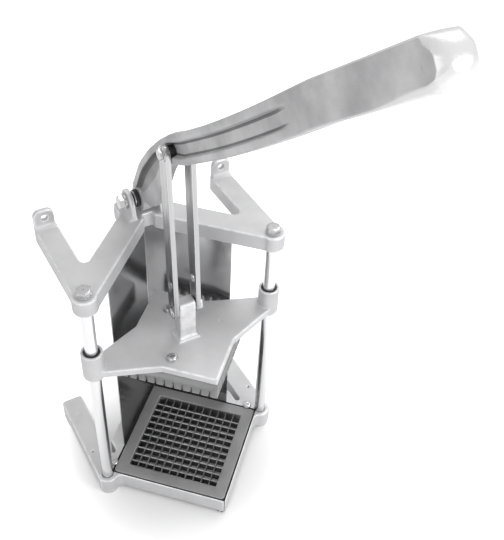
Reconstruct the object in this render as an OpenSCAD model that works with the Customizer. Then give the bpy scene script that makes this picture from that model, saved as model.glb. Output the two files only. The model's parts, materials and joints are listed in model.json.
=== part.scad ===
// Lever french fry cutter: a hand press with a square grid of blades, a guided pusher and a long lever.
// Millimetres. Plus Z is up, plus X is the user's right, and the lever points to minus Y.

/* [Blade grid] */
// Distance from one blade to the next
fry_pitch = 9.525; // [7:0.025:13]
// Openings along each side of the grid
fries_per_side = 11; // [6:1:13]
// Thickness of each blade
blade_thick = 0.8; // [0.4:0.1:1.2]
// Height of each blade
blade_depth = 10; // [6:0.5:11]
// How far the upper set of blades lies below the top of its frame
blade_drop = 2.5; // [1:0.5:4]
// How far the lower set of blades lies below the upper set
blade_stagger = 1.5; // [0.5:0.5:3]
// Width of the frame's border round the blades
frame_border = 13; // [10:0.5:18]
// Height of the frame that holds the blades
frame_height = 18; // [17:0.5:19]
// Radius of the frame's corners
frame_corner = 4; // [2:0.5:6]

/* [Base casting] */
// Height of the base casting without its feet
base_height = 20.5; // [20:0.5:26]
// Height of the cast feet under the base
foot_height = 4.5; // [3:0.5:8]
// Rim of the base round the frame's seat, measured along X at the corner
base_rim = 4.2; // [3:0.2:8]
// Length of the rear legs behind the columns
leg_length = 121; // [110:1:150]
// Width of each rear leg
leg_width = 25; // [20:0.5:30]
// Length of the foot under each leg's end
rear_foot_length = 21; // [14:1:30]
// Radius of the base's bosses round the columns
base_boss_radius = 11.5; // [10:0.5:13]
// Width of the slots beside the legs
leg_slot_width = 6.2; // [4:0.2:9]
// Where the slots beside the legs begin, behind the columns
leg_slot_start = 23; // [20:0.5:28]
// Wall of the legs round their hollow underside
leg_wall = 4; // [3:0.5:6]

/* [Columns] */
// Diameter of the two polished columns
column_diameter = 12.7; // [11:0.1:14]
// Distance from the frame's corner to the column's axis
column_gap = 7.65; // [7.65:0.05:12]
// Free height between the base and the top casting
free_height = 264; // [240:1:320]
// Depth of the columns' seats in the base
column_seat = 10; // [6:0.5:11]
// Depth of the columns' seats in the top casting
column_top_seat = 8; // [5:0.5:11]

/* [Top casting] */
// Thickness of the top casting
top_thick = 18; // [15:0.5:24]
// Width of the V-shaped band, measured along X
band_width = 37; // [33:0.5:42]
// How far the band reaches in front of the guard, measured along X
band_overhang = 10.5; // [6:0.5:13]
// Radius of the bosses over the columns
top_boss_radius = 12.4; // [11:0.2:14]
// Width of each rear arm
arm_width = 23; // [20:0.5:27]
// Reach of the arms behind the columns
arm_reach = 114; // [108:1:140]
// Height of the wall tabs above the casting
tab_height = 20; // [17:0.5:30]
// Thickness of the wall tabs
tab_thick = 6; // [4:0.5:9]
// Diameter of the hole in each wall tab
tab_hole = 7; // [5:0.5:9]
// Height of the hole above the casting
tab_hole_height = 11; // [9:0.5:12]

/* [Lever pivot] */
// Pivot's place behind the columns
pivot_back = 94; // [92:0.5:96]
// Pivot's height above the top casting
pivot_rise = 15; // [15:0.5:18]
// Clear width between the two ears
ear_gap = 26; // [24:0.5:32]
// Thickness of each ear
ear_thick = 5; // [4:0.5:8]
// Radius of the ears' round ends
ear_radius = 12; // [10:0.5:13]
// Diameter of the pivot bolt's shank
bolt_diameter = 8; // [6:0.5:9]

/* [Lever] */
// Link pin's place behind the columns with the lever raised
pin_back = 8.5; // [6:0.5:12]
// Link pin's height above the pivot with the lever raised
pin_rise = 107; // [100:1:115]
// Distance from the link pin to the centre of the handle's round end
handle_length = 359; // [300:1:420]
// Length of the handle's domed end
tip_length = 15.5; // [6:0.5:25]
// Angle between the arm's line and the handle's line
handle_turn = 13.8; // [8:0.2:20]
// Depth of the handle seen from the side
handle_depth = 28.4; // [24:0.1:31]
// Width of the grip
grip_width = 25.6; // [19:0.1:28]
// Width of the flanges round the lever's neck
flange_width = 17.8; // [16:0.2:18]
// Thickness of the lever's web
web_thick = 6; // [4:0.5:8]
// Thickness of the hub
hub_thick = 10; // [8:0.5:12]
// Radius of the hub
hub_radius = 14.3; // [12.8:0.1:14.5]

/* [Links] */
// Distance between the inner faces of the two links
link_gap = 19.2; // [18.6:0.2:22]
// Thickness of each link
link_thick = 4.8; // [3:0.2:6]
// Width of each link
link_width = 15; // [13:0.5:18]
// Distance of the spare hole from the lower pin
spare_hole_rise = 35; // [25:1:60]

/* [Pusher] */
// Height of the pusher's plate above the blade frame, with the lever raised
pusher_lift = 175.5; // [160:0.5:190]
// Thickness of the pusher's plate
plate_thick = 8.5; // [6:0.5:12]
// Reach of the plate's corners from its centre
plate_reach = 72.5; // [70:0.5:76]
// Radius of the pusher's bosses
pusher_boss_radius = 11.2; // [10.6:0.2:13]
// Height of the pusher's bosses above its plate
pusher_boss_rise = 22; // [14:0.5:30]
// Width of the lug that carries the links
lug_width = 17.6; // [14:0.2:18]
// Depth of the lug from front to back
lug_depth = 14; // [13:0.5:20]
// Height of the lug above the plate
lug_height = 49; // [47:0.5:54]
// Height of the lower link pin above the plate
pin_height = 38; // [36:0.5:40]
// Place of the lug's centre in front of the columns
lug_forward = 2; // [0:0.5:4]
// Thickness of the pusher block above its prongs
block_thick = 10.8; // [8:0.2:14]
// Length of the prongs
prong_length = 9.5; // [6:0.5:10]
// Gap between the prongs
prong_gap = 2.4; // [2:0.1:4]

/* [Guard] */
// Thickness of the guard's sheet
guard_thick = 1.2; // [0.8:0.1:2]
// Distance of the guard behind the frame's edge, measured along X
guard_gap = 2.2; // [2:0.1:4]
// Reach of each wing to the side
guard_reach = 68; // [50:0.5:72]
// Width of the feet bent from the guard's lower edge
guard_foot = 9; // [7:0.5:11]
// How far the guard rises into the top casting
guard_seat = 3; // [2:0.5:5]

/* [Fasteners] */
// Head of the hexagon bolts, across the flats
hex_flats = 13; // [11:0.5:15]
// Height of the hexagon heads
hex_height = 5.3; // [4:0.1:6]
// Diameter of the washers
washer_diameter = 16; // [14:0.5:17]
// Thickness of the washers
washer_thick = 1.6; // [1:0.1:2.2]
// Diameter of the small screws' heads
screw_head = 10.5; // [9:0.5:12]
// Diameter of the small screws' shanks
screw_shank = 4.2; // [3.5:0.1:5]
// Height of the small screws' heads
screw_height = 3; // [2:0.1:4]

/* [Fits] */
// Radial clearance of the sliding and turning fits
running_fit = 0.06; // [0.02:0.01:0.1]
// Radial clearance of bolts in plain holes
bolt_fit = 0.2; // [0.1:0.05:0.4]
// Gap all round the blade frame in its seat
seat_gap = 0.6; // [0.3:0.1:0.9]
// Side clearance between pieces that pass each other
pass_gap = 0.2; // [0.1:0.05:0.3]

/* [Hidden] */
$fn = 48;

// Depth of the grooves in the frame that hold the blades' ends
blade_notch = 2;
// Clearance of the blades in their grooves and notches
notch_fit = 0.05;
// Clearance of the lever's neck in the band's slot
slot_fit = 0.8;
// Clearance between a thread's solids
thread_fit = 0.02;
// Steps in each rounded corner of an outline
corner_steps = 6;
// Radii of small and large roundings of the castings
small_round = 3;
large_round = 8;
// How far cutting shapes run past the faces that they cut
overrun = 1;
// Depth by which joined shapes run into each other
joined = 0.5;
diagonal = sqrt(2);

// Heights of the main levels
base_top = foot_height + base_height;
frame_bottom = base_top - frame_height;
top_bottom = base_top + free_height;
top_face = top_bottom + top_thick;
plate_bottom = base_top + pusher_lift;
plate_top = plate_bottom + plate_thick;
prong_tip = plate_bottom - block_thick - prong_length;
upper_blade_top = base_top - blade_drop;
lower_blade_top = upper_blade_top - blade_stagger;

// Plan sizes: a reach is a distance along X or Y to the edge of a shape turned by 45 degrees
grid_side = fry_pitch * fries_per_side;
frame_side = grid_side + 2 * frame_border;
frame_reach = frame_side / diagonal;
seat_side = frame_side + 2 * seat_gap;
base_reach = frame_reach + base_rim;
column_x = frame_reach + column_gap;
guard_plane = frame_reach + guard_gap;
band_front = guard_plane - band_overhang;
band_rear = band_front + band_width;
leg_out = column_x + base_boss_radius - joined;
leg_in = leg_out - leg_width;
arm_out = column_x + arm_width * 0.413;
arm_in = arm_out - arm_width;

// Bolts
bolt_radius = bolt_diameter / 2;
hex_radius = hex_flats / sqrt(3);
column_radius = column_diameter / 2;

// The lever's own points, as [Y, Z]
pivot = [pivot_back, top_face + pivot_rise];
pin = [pin_back, pivot[1] + pin_rise];
lower_pin = [-lug_forward, plate_top + pin_height];
arm_length = norm(pin - pivot);
arm_line = (pin - pivot) / arm_length;
arm_side = [arm_line[1], -arm_line[0]];
link_length = norm(pin - lower_pin);
link_lean = atan2(pin[0] - lower_pin[0], pin[1] - lower_pin[1]);
link_in = link_gap / 2;
link_out = link_in + link_thick;

// Direction of the handle's line and its round end's centre
handle_line = arm_line * cos(handle_turn) - arm_side * sin(handle_turn);
handle_side = arm_side * cos(handle_turn) + arm_line * sin(handle_turn);
handle_end = pin + handle_line * handle_length;

// The origin lies under the middle of the whole press, on the surface that it stands on
origin_y = (leg_length + handle_end[0] - handle_depth / 2) / 2;

function unit(v) = v / norm(v);
function flat(p) = [p[0], p[1]];

// The arc that rounds corner b, between its neighbours a and c
function corner_arc(a, b, c, r) =
    r == 0 ? [b] :
    let (u = unit(a - b), w = unit(c - b), half = acos(u * w) / 2,
        m = b + unit(u + w) * r / sin(half),
        s = b + u * r / tan(half) - m, e = b + w * r / tan(half) - m,
        start = atan2(s[1], s[0]),
        turn = (atan2(e[1], e[0]) - start + 540) % 360 - 180)
    [for (i = [0:corner_steps]) let (t = start + turn * i / corner_steps) m + r * [cos(t), sin(t)]];

// An outline whose points are [x, y, corner radius]
function rounded(p) = [for (i = [0:len(p) - 1])
    each corner_arc(flat(p[(i + len(p) - 1) % len(p)]), flat(p[i]), flat(p[(i + 1) % len(p)]), p[i][2])];

// Half an outline, from its first point on the middle line to its last, joined to its mirror image
function both_sides(h) = concat(h, [for (i = [len(h) - 2:-1:1]) [-h[i][0], h[i][1], h[i][2]]]);

module place() translate([0, -origin_y, 0]) children();
module each_side() for (s = [-1, 1]) scale([s, 1, 1]) children();
module at_yz(p) translate([0, p[0], p[1]]) children();
module along_x(x) translate([x, 0, 0]) rotate([0, 90, 0]) children();

// A plate in the Y-Z plane, from one X to another, whose outline is given as [Y, Z]
module side_plate(from_x, to_x, outline)
    translate([from_x, 0, 0]) rotate([90, 0, 90]) linear_extrude(to_x - from_x) polygon(outline);

// A ring or disc round the X axis through p
module x_disc(p, from_x, to_x, r, hole = 0) at_yz(p) along_x(from_x) difference() {
    cylinder(r = r, h = to_x - from_x);
    if (hole > 0) translate([0, 0, -overrun]) cylinder(r = hole, h = to_x - from_x + 2 * overrun);
}

// A square turned by 45 degrees, standing on height z
module diamond(side, z, h, corner)
    translate([0, 0, z]) rotate([0, 0, 45]) linear_extrude(h)
        polygon(rounded([[-side / 2, -side / 2, corner], [side / 2, -side / 2, corner],
            [side / 2, side / 2, corner], [-side / 2, side / 2, corner]]));

// Chamfered hexagon head that stands on z = 0
module hex_head() intersection() {
    cylinder(r = hex_radius, h = hex_height, $fn = 6);
    cylinder(r1 = hex_radius + hex_height, r2 = hex_flats / 2 * 0.98, h = hex_height + joined);
}

// Pan head with a cross recess, its underside on z = 0, and a shank below it
module pan_screw(shank_length) {
    difference() {
        rotate_extrude() polygon(rounded([[0, 0, 0], [screw_head / 2, 0, 0],
            [screw_head / 2, screw_height, screw_height * 0.7], [0, screw_height, 0]]));
        for (a = [0, 90]) rotate([0, 0, a])
            translate([-screw_head * 0.24, -screw_head * 0.06, screw_height * 0.45])
                cube([screw_head * 0.48, screw_head * 0.12, screw_height]);
    }
    translate([0, 0, -shank_length]) cylinder(d = screw_shank, h = shank_length);
}

/* Base */

outlet_side = grid_side + frame_border / 2;
outlet_reach = outlet_side / 2 * diagonal;
leg_hollow = base_height - leg_wall;
hollow_length = leg_length - leg_slot_start - rear_foot_length - leg_wall;
base_half = [[0, -base_reach, frame_corner],
    [column_x - base_boss_radius, -base_reach + column_x - base_boss_radius, large_round],
    [column_x, -base_boss_radius, 0], [leg_out, -base_boss_radius / 2, 0], [leg_out, leg_length, leg_wall],
    [leg_in, leg_length, leg_wall], [leg_in, leg_slot_start, leg_slot_width * 0.49],
    [leg_in - leg_slot_width, leg_slot_start, leg_slot_width * 0.49],
    [leg_in - leg_slot_width, band_rear - leg_in + leg_slot_width, leg_wall], [0, band_rear, large_round]];
screw_x = column_x - screw_head * 1.14;
screw_y = screw_head;
leg_hole_y = leg_slot_start * 1.55;
guard_screw_x = guard_reach / 2 + (guard_thick + guard_foot * 0.65) / diagonal;
guard_screw_y = guard_plane - guard_reach / 2 + (guard_thick + guard_foot * 0.65) / diagonal;

module base_casting() color("lightgray") difference() {
    union() {
        translate([0, 0, foot_height]) linear_extrude(base_height) polygon(rounded(both_sides(base_half)));
        cylinder_foot(0, -(base_reach + outlet_reach) / 2, (base_reach - outlet_reach) * 0.31);
        each_side() {
            translate([column_x, 0, foot_height]) cylinder(r = base_boss_radius, h = base_height);
            cylinder_foot(column_x, 0, base_boss_radius - joined);
            translate([leg_in, leg_length - rear_foot_length, 0])
                linear_extrude(foot_height + joined) polygon(rounded([[0, 0, small_round],
                    [leg_width, 0, small_round],
                    [leg_width, rear_foot_length, leg_wall], [0, rear_foot_length, leg_wall]]));
        }
    }
    diamond(seat_side, frame_bottom, frame_height + overrun, frame_corner);
    diamond(outlet_side, -overrun, base_height + foot_height, frame_corner);
    each_side() {
        // Seat of the column, the bolt's hole and the recess for the bolt's head
        translate([column_x, 0, base_top - column_seat])
            cylinder(r = column_radius + running_fit, h = column_seat + overrun);
        translate([column_x, 0, -overrun]) cylinder(r = bolt_radius + bolt_fit, h = base_top);
        translate([column_x, 0, -overrun])
            cylinder(r = washer_diameter / 2, h = hex_height + joined + overrun);
        translate([screw_x, screw_y, base_top - frame_height / 2])
            cylinder(r = screw_shank / 2, h = frame_height);
        translate([guard_screw_x, guard_screw_y, base_top - frame_height / 2])
            cylinder(r = screw_shank / 2, h = frame_height);
        // Hollow underside of the leg
        translate([leg_in + leg_wall, leg_slot_start, foot_height - overrun])
            linear_extrude(leg_hollow + overrun) polygon(rounded([[0, 0, small_round],
                [leg_width - 2 * leg_wall, 0, small_round],
                [leg_width - 2 * leg_wall, hollow_length, small_round], [0, hollow_length, small_round]]));
        // Shallow cast spot over the foot
        translate([leg_in + leg_width / 2, leg_length - rear_foot_length * 1.3, base_top - joined])
            cylinder(r = leg_wall, h = joined + overrun);
        // Small hole through the leg
        translate([column_x + screw_shank, leg_hole_y, base_top - leg_wall - overrun])
            cylinder(r = screw_shank / 3, h = leg_wall + 2 * overrun);
    }
}

// Round cast foot
module cylinder_foot(x, y, r) translate([x, y, 0]) cylinder(r = r, h = foot_height + joined);

/* Top casting */

ear_half = ear_gap / 2;
ear_foot_front = band_front - ear_half * 0.54;
ear_foot_back = pivot_back + ear_radius * 1.67;
ear_blend = ear_radius * 0.58;
ear_boss_x = ear_half + ear_thick + ear_blend + joined;
wing_end = column_x - top_boss_radius * 0.44;
// Half width of the slot in the band's front corner that the lowered lever's neck enters
neck_slot = hub_thick / 2 + slot_fit;
top_half = [[0, band_front, 0], [neck_slot, band_front, slot_fit], [neck_slot, band_front - neck_slot, 0],
    [wing_end, band_front - wing_end, 0],
    [column_x, -top_boss_radius * 0.6, 0], [arm_out, 0, 0], [arm_out, arm_reach, small_round],
    [arm_in, arm_reach, small_round], [arm_in, band_rear - arm_in, small_round * 1.7],
    [0, band_rear, large_round]];

// Outline of an ear: the tangent lines from its foot to the round end, which is a full circle
module ear(from_x, to_x) {
    side_plate(from_x, to_x, [[ear_foot_front, top_face - joined], tangent_point(-1, ear_foot_front),
        pivot, tangent_point(1, ear_foot_back), [ear_foot_back, top_face - joined]]);
    x_disc(pivot, from_x, to_x, ear_radius);
}

// Where the line from a foot point at y touches the round end, on the side s
function tangent_point(s, y) =
    let (d = [y, top_face - joined] - pivot, n = norm(d), a = atan2(d[1], d[0]), b = acos(ear_radius / n))
    pivot + ear_radius * [cos(a + s * b), sin(a + s * b)];

// Concave fillet along an ear's outer face
module ear_fillet() {
    r = ear_blend;
    translate([ear_half + ear_thick, ear_foot_front + joined, top_face]) rotate([-90, 0, 0])
        linear_extrude(ear_foot_back - ear_foot_front - 2 * joined)
            polygon(concat([[-joined, joined], [-joined, -r]],
                [for (i = [0:corner_steps]) let (t = 180 + 90 * i / corner_steps)
                    [r + r * cos(t), -r - r * sin(t)]],
                [[r, joined]]));
}

module top_casting() color("silver") difference() {
    union() {
        translate([0, 0, top_bottom]) linear_extrude(top_thick) polygon(rounded(both_sides(top_half)));
        // Squared boss that carries the ears at the back
        translate([0, 0, top_bottom]) linear_extrude(top_thick)
            polygon(rounded(both_sides([[0, band_front + large_round, 0],
                [ear_boss_x, band_front + large_round, 0],
                [ear_boss_x, ear_foot_back + joined, small_round], [0, ear_foot_back + joined, 0]])));
        each_side() {
            translate([column_x, 0, top_bottom]) cylinder(r = top_boss_radius, h = top_thick);
            ear(ear_half, ear_half + ear_thick);
            ear_fillet();
            wall_tab();
        }
    }
    each_side() {
        translate([column_x, 0, top_bottom - overrun])
            cylinder(r = column_radius + running_fit, h = column_top_seat + overrun);
        translate([column_x, 0, top_bottom]) cylinder(r = bolt_radius + bolt_fit, h = top_thick + overrun);
        translate([arm_out - arm_width / 2, arm_reach + overrun, top_face + tab_hole_height])
            rotate([90, 0, 0])
            cylinder(d = tab_hole, h = tab_thick + 2 * overrun);
        // Groove for the guard's upper edge
        wing_plate(guard_plane - pass_gap * diagonal, guard_thick + 2 * pass_gap,
            top_bottom - overrun, top_bottom + guard_seat + pass_gap, guard_reach + pass_gap * 2);
    }
    x_disc(pivot, -ear_half - 2 * ear_thick, ear_half + 2 * ear_thick, bolt_radius + bolt_fit);
}

module wall_tab() {
    x = [arm_in + 3 * joined, arm_out - joined];
    translate([0, arm_reach, 0]) rotate([90, 0, 0]) linear_extrude(tab_thick)
        polygon(rounded([[x[0], top_face - joined, 0], [x[1], top_face - joined, 0],
            [x[1], top_face + tab_height, tab_hole], [x[0], top_face + tab_height, tab_hole]]));
    // Fillet at the tab's foot
    side_plate(x[0], x[1], concat([[arm_reach - tab_thick + joined, top_face - joined],
        [arm_reach - tab_thick + joined, top_face + tab_thick]],
        [for (i = [0:corner_steps]) let (t = 90 * i / corner_steps)
            [arm_reach - tab_thick * 2 + tab_thick * cos(t), top_face + tab_thick - tab_thick * sin(t)]],
        [[arm_reach - tab_thick * 2, top_face - joined]]));
}

/* Columns and their fasteners */

module column(s) translate([s * column_x, 0, base_top - column_seat]) difference() {
    cylinder(r = column_radius, h = free_height + column_seat + column_top_seat);
    for (z = [0, free_height + column_top_seat - column_seat - hex_height])
        translate([0, 0, z - overrun * (z == 0 ? 1 : 0)])
            cylinder(r = bolt_radius + thread_fit, h = 2 * column_seat + hex_height + overrun);
}

module left_column() color("whitesmoke") column(-1);
module right_column() color("whitesmoke") column(1);

module column_top_bolts() color("gainsboro") each_side() translate([column_x, 0, top_face + washer_thick]) {
    hex_head();
    translate([0, 0, -top_thick - column_seat]) cylinder(r = bolt_radius, h = top_thick + column_seat);
}

module column_top_washers() color("white") each_side() translate([column_x, 0, top_face]) difference() {
    cylinder(d = washer_diameter, h = washer_thick);
    translate([0, 0, -overrun]) cylinder(r = bolt_radius + bolt_fit, h = washer_thick + 2 * overrun);
}

module column_bottom_bolts() color("gainsboro") each_side()
    translate([column_x, 0, hex_height + joined]) {
        rotate([180, 0, 0]) hex_head();
        cylinder(r = bolt_radius, h = base_top - column_seat);
    }

/* Blade grid */

lap = (upper_blade_top - blade_depth + lower_blade_top) / 2;

// Places of the blades across the grid
function blade_places() = [for (i = [1:fries_per_side - 1]) i * fry_pitch - grid_side / 2];

module blade_frame() color("dimgray") difference() {
    diamond(frame_side, frame_bottom, frame_height, frame_corner);
    diamond(grid_side, frame_bottom - overrun, frame_height + 2 * overrun, joined);
    rotate([0, 0, 45]) for (p = blade_places()) {
        blade_slot(p, upper_blade_top);
        rotate([0, 0, 90]) blade_slot(p, lower_blade_top);
    }
}

// Two grooves in the frame, open at its underside, that hold the ends of one blade
module blade_slot(p, top)
    translate([-grid_side / 2 - blade_notch, p - blade_thick / 2 - notch_fit, frame_bottom - overrun])
        cube([grid_side + 2 * blade_notch, blade_thick + 2 * notch_fit,
            top + notch_fit - frame_bottom + overrun]);

// One set of blades along the turned X axis, each notched half through where it crosses the other set
module blade_set(top, notch_from, notch_to) for (p = blade_places()) difference() {
    translate([-grid_side / 2 - blade_notch + notch_fit, p - blade_thick / 2, top - blade_depth])
        cube([grid_side + 2 * blade_notch - 2 * notch_fit, blade_thick, blade_depth]);
    for (q = blade_places())
        translate([q - blade_thick / 2 - notch_fit, p - blade_thick, notch_from])
            cube([blade_thick + 2 * notch_fit, 2 * blade_thick, notch_to - notch_from]);
}

module long_blades() color("lightsteelblue") rotate([0, 0, 45])
    blade_set(upper_blade_top, upper_blade_top - blade_depth - overrun, lap + notch_fit);
module cross_blades() color("lightsteelblue") rotate([0, 0, 135])
    blade_set(lower_blade_top, lap - notch_fit, lower_blade_top + overrun);

module clamp_screws() color("white") each_side() translate([screw_x, screw_y, base_top])
    pan_screw(frame_height / 2);

/* Guard */

// Both wings of a V-shaped plate whose front meets the X and Y axes at reach
module wing_plate(reach, thick, z0, z1, side) {
    t = thick * diagonal;
    translate([0, 0, z0]) linear_extrude(z1 - z0)
        polygon([[0, reach], [side, reach - side], [side + t / 2, reach - side + t / 2], [0, reach + t]]);
}

module back_guard() color("gray") difference() {
    each_side() {
        wing_plate(guard_plane, guard_thick, base_top, top_bottom + guard_seat, guard_reach);
        wing_foot();
    }
    each_side() translate([guard_screw_x, guard_screw_y, base_top - overrun])
        cylinder(r = screw_shank / 2 + bolt_fit, h = guard_thick + 2 * overrun);
}

// Foot bent backwards from the wing's lower edge
module wing_foot() translate([guard_reach / 2, guard_plane - guard_reach / 2, base_top]) rotate([0, 0, -45])
    translate([-guard_foot, guard_thick / 2, 0])
        cube([2 * guard_foot, guard_thick / 2 + guard_foot * 1.3, guard_thick]);

module guard_screws() color("white") each_side()
    translate([guard_screw_x, guard_screw_y, base_top + guard_thick])
    pan_screw(frame_height / 2);

/* Pivot */

ear_out = ear_half + ear_thick;
stack = ear_out + 2 * washer_thick;
spacer_in = hub_thick / 2 + pass_gap;
spacer_out = ear_half - thread_fit;
spacer_step = (spacer_in + spacer_out) / 2;

module pivot_bolt() color("gainsboro") at_yz(pivot) {
    translate([-stack, 0, 0]) rotate([0, -90, 0]) hex_head();
    along_x(-stack) cylinder(r = bolt_radius, h = 2 * stack + hex_height + overrun);
}

module pivot_nut() color("gainsboro") at_yz(pivot) along_x(stack) difference() {
    hex_head();
    translate([0, 0, -overrun]) cylinder(r = bolt_radius + thread_fit, h = hex_height + 2 * overrun);
}

module pivot_washers() color("white") each_side() {
    for (i = [0, 1])
        x_disc(pivot, ear_out + i * washer_thick, ear_out + (i + 1) * washer_thick,
            washer_diameter / 2 * (1 - i * 0.12), bolt_radius + bolt_fit);
    x_disc(pivot, spacer_step, spacer_step + washer_thick, washer_diameter / 2, bolt_radius + bolt_fit);
}

module pivot_spacers() color("#303030") each_side() {
    x_disc(pivot, spacer_in, spacer_step, washer_diameter * 0.56, bolt_radius + bolt_fit);
    x_disc(pivot, spacer_step + washer_thick, spacer_out, washer_diameter * 0.44, bolt_radius + bolt_fit);
}

/* Lever */

// Neck of the lever, from the hub to the link pin: a ring joins each point of the outer edge to its
// point of the inner edge. Both are along and across the arm's line, as shares of the arm's length.
neck_outer_shares = [[0.022, 0.1], [0.058, 0.094], [0.088, 0.098], [0.112, 0.103], [0.161, 0.111],
    [0.226, 0.124], [0.299, 0.138], [0.380, 0.149], [0.460, 0.153], [0.548, 0.153], [0.635, 0.152],
    [0.715, 0.1475], [0.788, 0.140], [0.861, 0.132], [0.934, 0.1205], [1.007, 0.105], [1.088, 0.0876]];
neck_inner_shares = [[0.036, -0.096], [0.116, -0.066], [0.124, -0.077], [0.134, -0.095],
    [0.161, -0.124], [0.212, -0.146], [0.277, -0.155], [0.358, -0.155], [0.438, -0.1445],
    [0.518, -0.1255], [0.599, -0.101], [0.672, -0.076], [0.737, -0.058], [0.803, -0.051],
    [0.869, -0.0555], [0.942, -0.0715], [1.022, -0.099]];
// Half width of the inner rib, from the hub's at 0 to the flange's at 1, for each ring of the neck
rib_width_shares = [0, 0, 0, 0, 0, 0, 0, 0.03, 0.08, 0.2, 0.4, 0.62, 0.82, 0.95, 1, 1, 1];
// Height of the inner rib for each ring of the neck, as a share of the ring's depth
rib_height_shares = [0.4, 0.42, 0.46, 0.48, 0.48, 0.47, 0.46, 0.45, 0.42, 0.39, 0.35, 0.31, 0.28, 0.26, 0.26,
    0.26, 0.26];
flange_share = 0.27;
handle_rings = 15;
tip_rings = 8;
tip_power = 0.65;
handle_bow_share = 0.01;
channel_end_share = 0.56;

function arm_point(p) = pivot + (arm_line * p[0] + arm_side * p[1]) * arm_length;
function smooth(t) = let (c = min(1, max(0, t))) c * c * (3 - 2 * c);

// Middle line of the handle, at a share of its length
function handle_centre(s) = pin + handle_line * handle_length * s
    - handle_side * handle_length * handle_bow_share * sin(180 * min(1, s / 0.72));

// Half of a ring's outline, as [X, height above the inner edge], from the outer middle to the inner one
function half_section(depth, out_w, in_w, web, out_f, in_f) =
    let (c = min(min(out_w, in_w) * 0.38, depth * 0.2), s = min(min(out_w, in_w) * 0.1, depth * 0.03),
        out_step = min(s, (out_w - web) / 2), in_step = min(s, (in_w - web) / 2))
    [[0, depth], [out_w - c, depth - s * 0.4], [out_w - c * 0.3, depth - c * 0.35], [out_w, depth - c],
        [out_w, depth - out_f + s], [out_w - out_step, depth - out_f], [web + out_step, depth - out_f - s],
        [web, depth - out_f - 3 * s], [web, in_f + 3 * s], [web + in_step, in_f + s],
        [in_w - in_step, in_f], [in_w, in_f - s], [in_w, c], [in_w - c * 0.3, c * 0.35],
        [in_w - c, s * 0.4], [0, 0]];

// A whole ring in space, between its inner and its outer point
function ring(inner, outer, out_w, in_w, web, out_f, in_f) =
    let (depth = norm(outer - inner), up = (outer - inner) / depth,
        half = half_section(depth, out_w, in_w, web, out_f, in_f), n = len(half))
    [for (i = [0:2 * n - 3])
        let (q = i < n ? half[i] : half[2 * n - 2 - i], x = i < n ? q[0] : -q[0], p = inner + up * q[1])
        [x, p[0], p[1]]];

neck_hub = hub_thick / 2 * 0.96;
neck_flange = flange_width / 2;

function neck_ring(i) =
    let (outer = arm_point(neck_outer_shares[i]), inner = arm_point(neck_inner_shares[i]),
        depth = norm(outer - inner))
    ring(inner, outer, i < 2 ? neck_hub : neck_flange,
        neck_hub + (neck_flange - neck_hub) * rib_width_shares[i], web_thick / 2,
        min(depth, handle_depth) * flange_share, depth * rib_height_shares[i]);

function handle_ring(s, shrink, ahead) =
    let (c = handle_centre(s) + handle_line * ahead, half = handle_depth / 2 * shrink,
        w = (flange_width + (grip_width - flange_width) * smooth((s - 0.12) / 0.3)) / 2
            * shrink,
        thin = web_thick / 2, deep = w * 0.98,
        grown = thin + (deep - thin) * smooth((s - 0.15) / 0.1) * 0.35,
        web = grown + (deep - grown) * smooth((s - channel_end_share) / 0.04))
    ring(c - handle_side * half, c + handle_side * half, w, w, web,
        2 * half * flange_share, 2 * half * (flange_share - 0.03));

lever_rings = concat(
    [for (i = [0:len(neck_outer_shares) - 1]) neck_ring(i)],
    [for (i = [0:handle_rings]) handle_ring(0.06 + 0.94 * i / handle_rings, 1, 0)],
    [for (i = [1:tip_rings]) let (a = 88 * i / tip_rings)
        handle_ring(1, pow(cos(a), tip_power), tip_length * sin(a))]);

// Skin over a row of rings with the same number of points, closed at both ends
module loft(rings) {
    m = len(rings[0]);
    n = len(rings);
    polyhedron([for (r = rings) each r], concat(
        [for (i = [0:n - 2]) for (j = [0:m - 1]) let (k = (j + 1) % m)
            each [[i * m + j, i * m + k, (i + 1) * m + j], [i * m + k, (i + 1) * m + k, (i + 1) * m + j]]],
        [for (j = [1:m - 2]) [0, j + 1, j]],
        [for (j = [1:m - 2]) [(n - 1) * m, (n - 1) * m + j, (n - 1) * m + j + 1]]));
}

bushing_radius = bolt_radius * 1.5;

module lever() color("silver") difference() {
    union() {
        loft(lever_rings);
        x_disc(pivot, -hub_thick / 2, hub_thick / 2, hub_radius);
    }
    x_disc(pivot, -hub_thick, hub_thick, bushing_radius);
    x_disc(pin, -link_gap, link_gap, pin_radius);
    each_side() x_disc(pin, web_thick / 2, link_in, boss_ring + spot_face);
}

module hub_bushing() color("darkgoldenrod")
    x_disc(pivot, -hub_thick / 2, hub_thick / 2, bushing_radius, bolt_radius + running_fit);

/* Links and their pins */

pin_radius = link_width * 0.27;
boss_ring = link_width * 0.4;
spot_face = boss_ring * 0.1;
spacer_end = link_in - pass_gap;

// Dark spacers on the lever between its web and the links, with a bright ring at each end
module link_spacers() color("#303030") each_side() {
    x_disc(pin, web_thick / 2, spacer_end - washer_thick / 2, boss_ring * 0.9, pin_radius);
    x_disc(pin, spacer_end - washer_thick / 2, spacer_end, boss_ring, pin_radius);
}

// A flat bar from the lower pin to the upper one, with round ends and three holes
module link(from_x) at_yz(lower_pin) rotate([-link_lean, 0, 0]) along_x(from_x) difference() {
    union() {
        cylinder(r = link_width / 2, h = link_thick);
        translate([-link_length, 0, 0]) cylinder(r = link_width / 2, h = link_thick);
        translate([-link_length, -link_width / 2, 0]) cube([link_length, link_width, link_thick]);
    }
    for (d = [0, spare_hole_rise, link_length]) translate([-d, 0, -overrun])
        cylinder(r = pin_radius + running_fit, h = link_thick + 2 * overrun);
}

module left_link() color("whitesmoke") link(-link_out);
module right_link() color("whitesmoke") link(link_in);

pin_head_height = screw_height * 0.9;

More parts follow.
